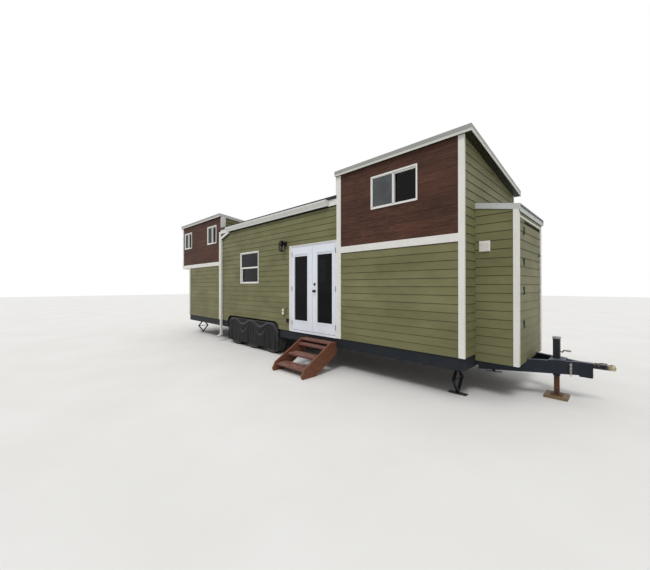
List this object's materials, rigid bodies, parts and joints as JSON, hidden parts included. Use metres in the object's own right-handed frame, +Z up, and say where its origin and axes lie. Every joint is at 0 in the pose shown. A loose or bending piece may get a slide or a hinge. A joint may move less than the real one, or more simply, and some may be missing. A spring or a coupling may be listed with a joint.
{
  "type": "tiny house on wheels",
  "caption": "Tiny house on a steel road trailer with raised towers at both ends, a low middle with glazed double doors, entry steps, a front closet and a tongue jack.",
  "frame": {"origin": "bottom centre of the whole object's box, on the ground", "axes": "+X toward the tongue, +Y away from the entry side, +Z up"},
  "size_m": [11.949, 3.55, 3.932],
  "materials": {
    "frame_steel": "satin navy enamel",
    "tongue_steel": "satin navy enamel, worn",
    "coupler_steel": "rusty zinc",
    "chain_steel": "dull zinc",
    "pad_timber": "weathered timber",
    "axle_steel": "black enamel",
    "tyre": "matt rubber",
    "rim": "white enamel",
    "well_steel": "black enamel",
    "cover_vinyl": "dark grey vinyl",
    "jack_stand_steel": "black enamel",
    "floor_ply": "plywood",
    "lap_siding": "painted fibre cement, satin",
    "stained_boards": "brown stain",
    "roof_metal": "dark roof sheet",
    "low_roof_metal": "dark roof sheet",
    "trim_white": "white paint",
    "fascia_paint": "light grey paint",
    "window_vinyl": "white vinyl",
    "window_glass": "clear, dark behind",
    "door_paint": "white enamel",
    "door_glass": "clear, dark behind",
    "hinge_steel": "satin",
    "lock_black": "black",
    "hinge_black": "black",
    "box_plastic": "white plastic",
    "inlet_plastic": "black plastic",
    "gutter_aluminium": "white enamel",
    "lantern_metal": "black",
    "lantern_glass": "clear",
    "stringer_timber": "orange brown stain",
    "tread_timber": "red brown stain"
  },
  "bodies": {
    "trailer_house": {"axles": "axle_steel", "band_boards": "trim_white", "closet_fascia": "trim_white", "closet_front_wall": "lap_siding", "closet_hinges": "hinge_black", "closet_roof": "roof_metal", "closet_side_walls": "lap_siding", "corner_boards": "trim_white", "coupler": "coupler_steel", "crossmembers": "frame_steel", "door_casing": "trim_white", "door_frame": "door_paint", "door_hinges": "hinge_steel", "downspout": "gutter_aluminium", "end_beams": "frame_steel", "end_walls": "lap_siding", "floor_deck": "floor_ply", "gutter": "gutter_aluminium", "inlet_box": "inlet_plastic", "jack_pad": "pad_timber", "jack_tube": "jack_stand_steel", "loft_floors": "floor_ply", "main_rails": "frame_steel", "mid_roof": "low_roof_metal", "mid_side_walls": "lap_siding", "outlet_box": "box_plastic", "porch_light": "lantern_metal", "porch_light_glass": "lantern_glass", "roof_fascias": "fascia_paint", "safety_chain": "chain_steel", "side_rails": "frame_steel", "stabiliser_jacks": "jack_stand_steel", "step_stringers": "stringer_timber", "step_treads": "tread_timber", "step_walls": "lap_siding", "tongue_beams": "tongue_steel", "tongue_plates": "tongue_steel", "tower_lower_walls": "lap_siding", "tower_roofs": "roof_metal", "tower_upper_walls": "stained_boards", "tyre_cover": "cover_vinyl", "tyres": "tyre", "vent_cover": "box_plastic", "wall_over_door": "lap_siding", "wheel_rims": "rim", "wheel_wells": "well_steel", "window_frames": "window_vinyl", "window_glass": "window_glass"},
    "left_door": {"left_door_leaf": "door_paint", "left_door_glass": "door_glass", "left_door_hinges": "hinge_steel"},
    "right_door": {"right_door_leaf": "door_paint", "right_door_glass": "door_glass", "right_door_hinges": "hinge_steel", "door_lockset": "lock_black"},
    "closet_door_body": {"closet_door": "lap_siding", "closet_door_hinges": "hinge_black", "closet_latch": "lock_black"},
    "jack_drop_leg": {"jack_leg": "jack_stand_steel"}
  },
  "joints": [
    {"name": "left_door_hinge", "type": "hinge", "parent": "trailer_house", "child": "left_door", "pos_m": [0.612, -0.898, 0.69], "axis": [0, 0, -1], "range_deg": [0, 110]},
    {"name": "right_door_hinge", "type": "hinge", "parent": "trailer_house", "child": "right_door", "pos_m": [1.969, -0.898, 0.69], "axis": [0, 0, 1], "range_deg": [0, 170]},
    {"name": "closet_door_hinge", "type": "hinge", "parent": "trailer_house", "child": "closet_door_body", "pos_m": [5.0045, -0.0825, 1], "axis": [0, 0, -1], "range_deg": [0, 165]},
    {"name": "jack_leg_slide", "type": "slide", "parent": "trailer_house", "child": "jack_drop_leg", "axis": [0, 0, 1], "range_m": [0, 0.25]}
  ]
}
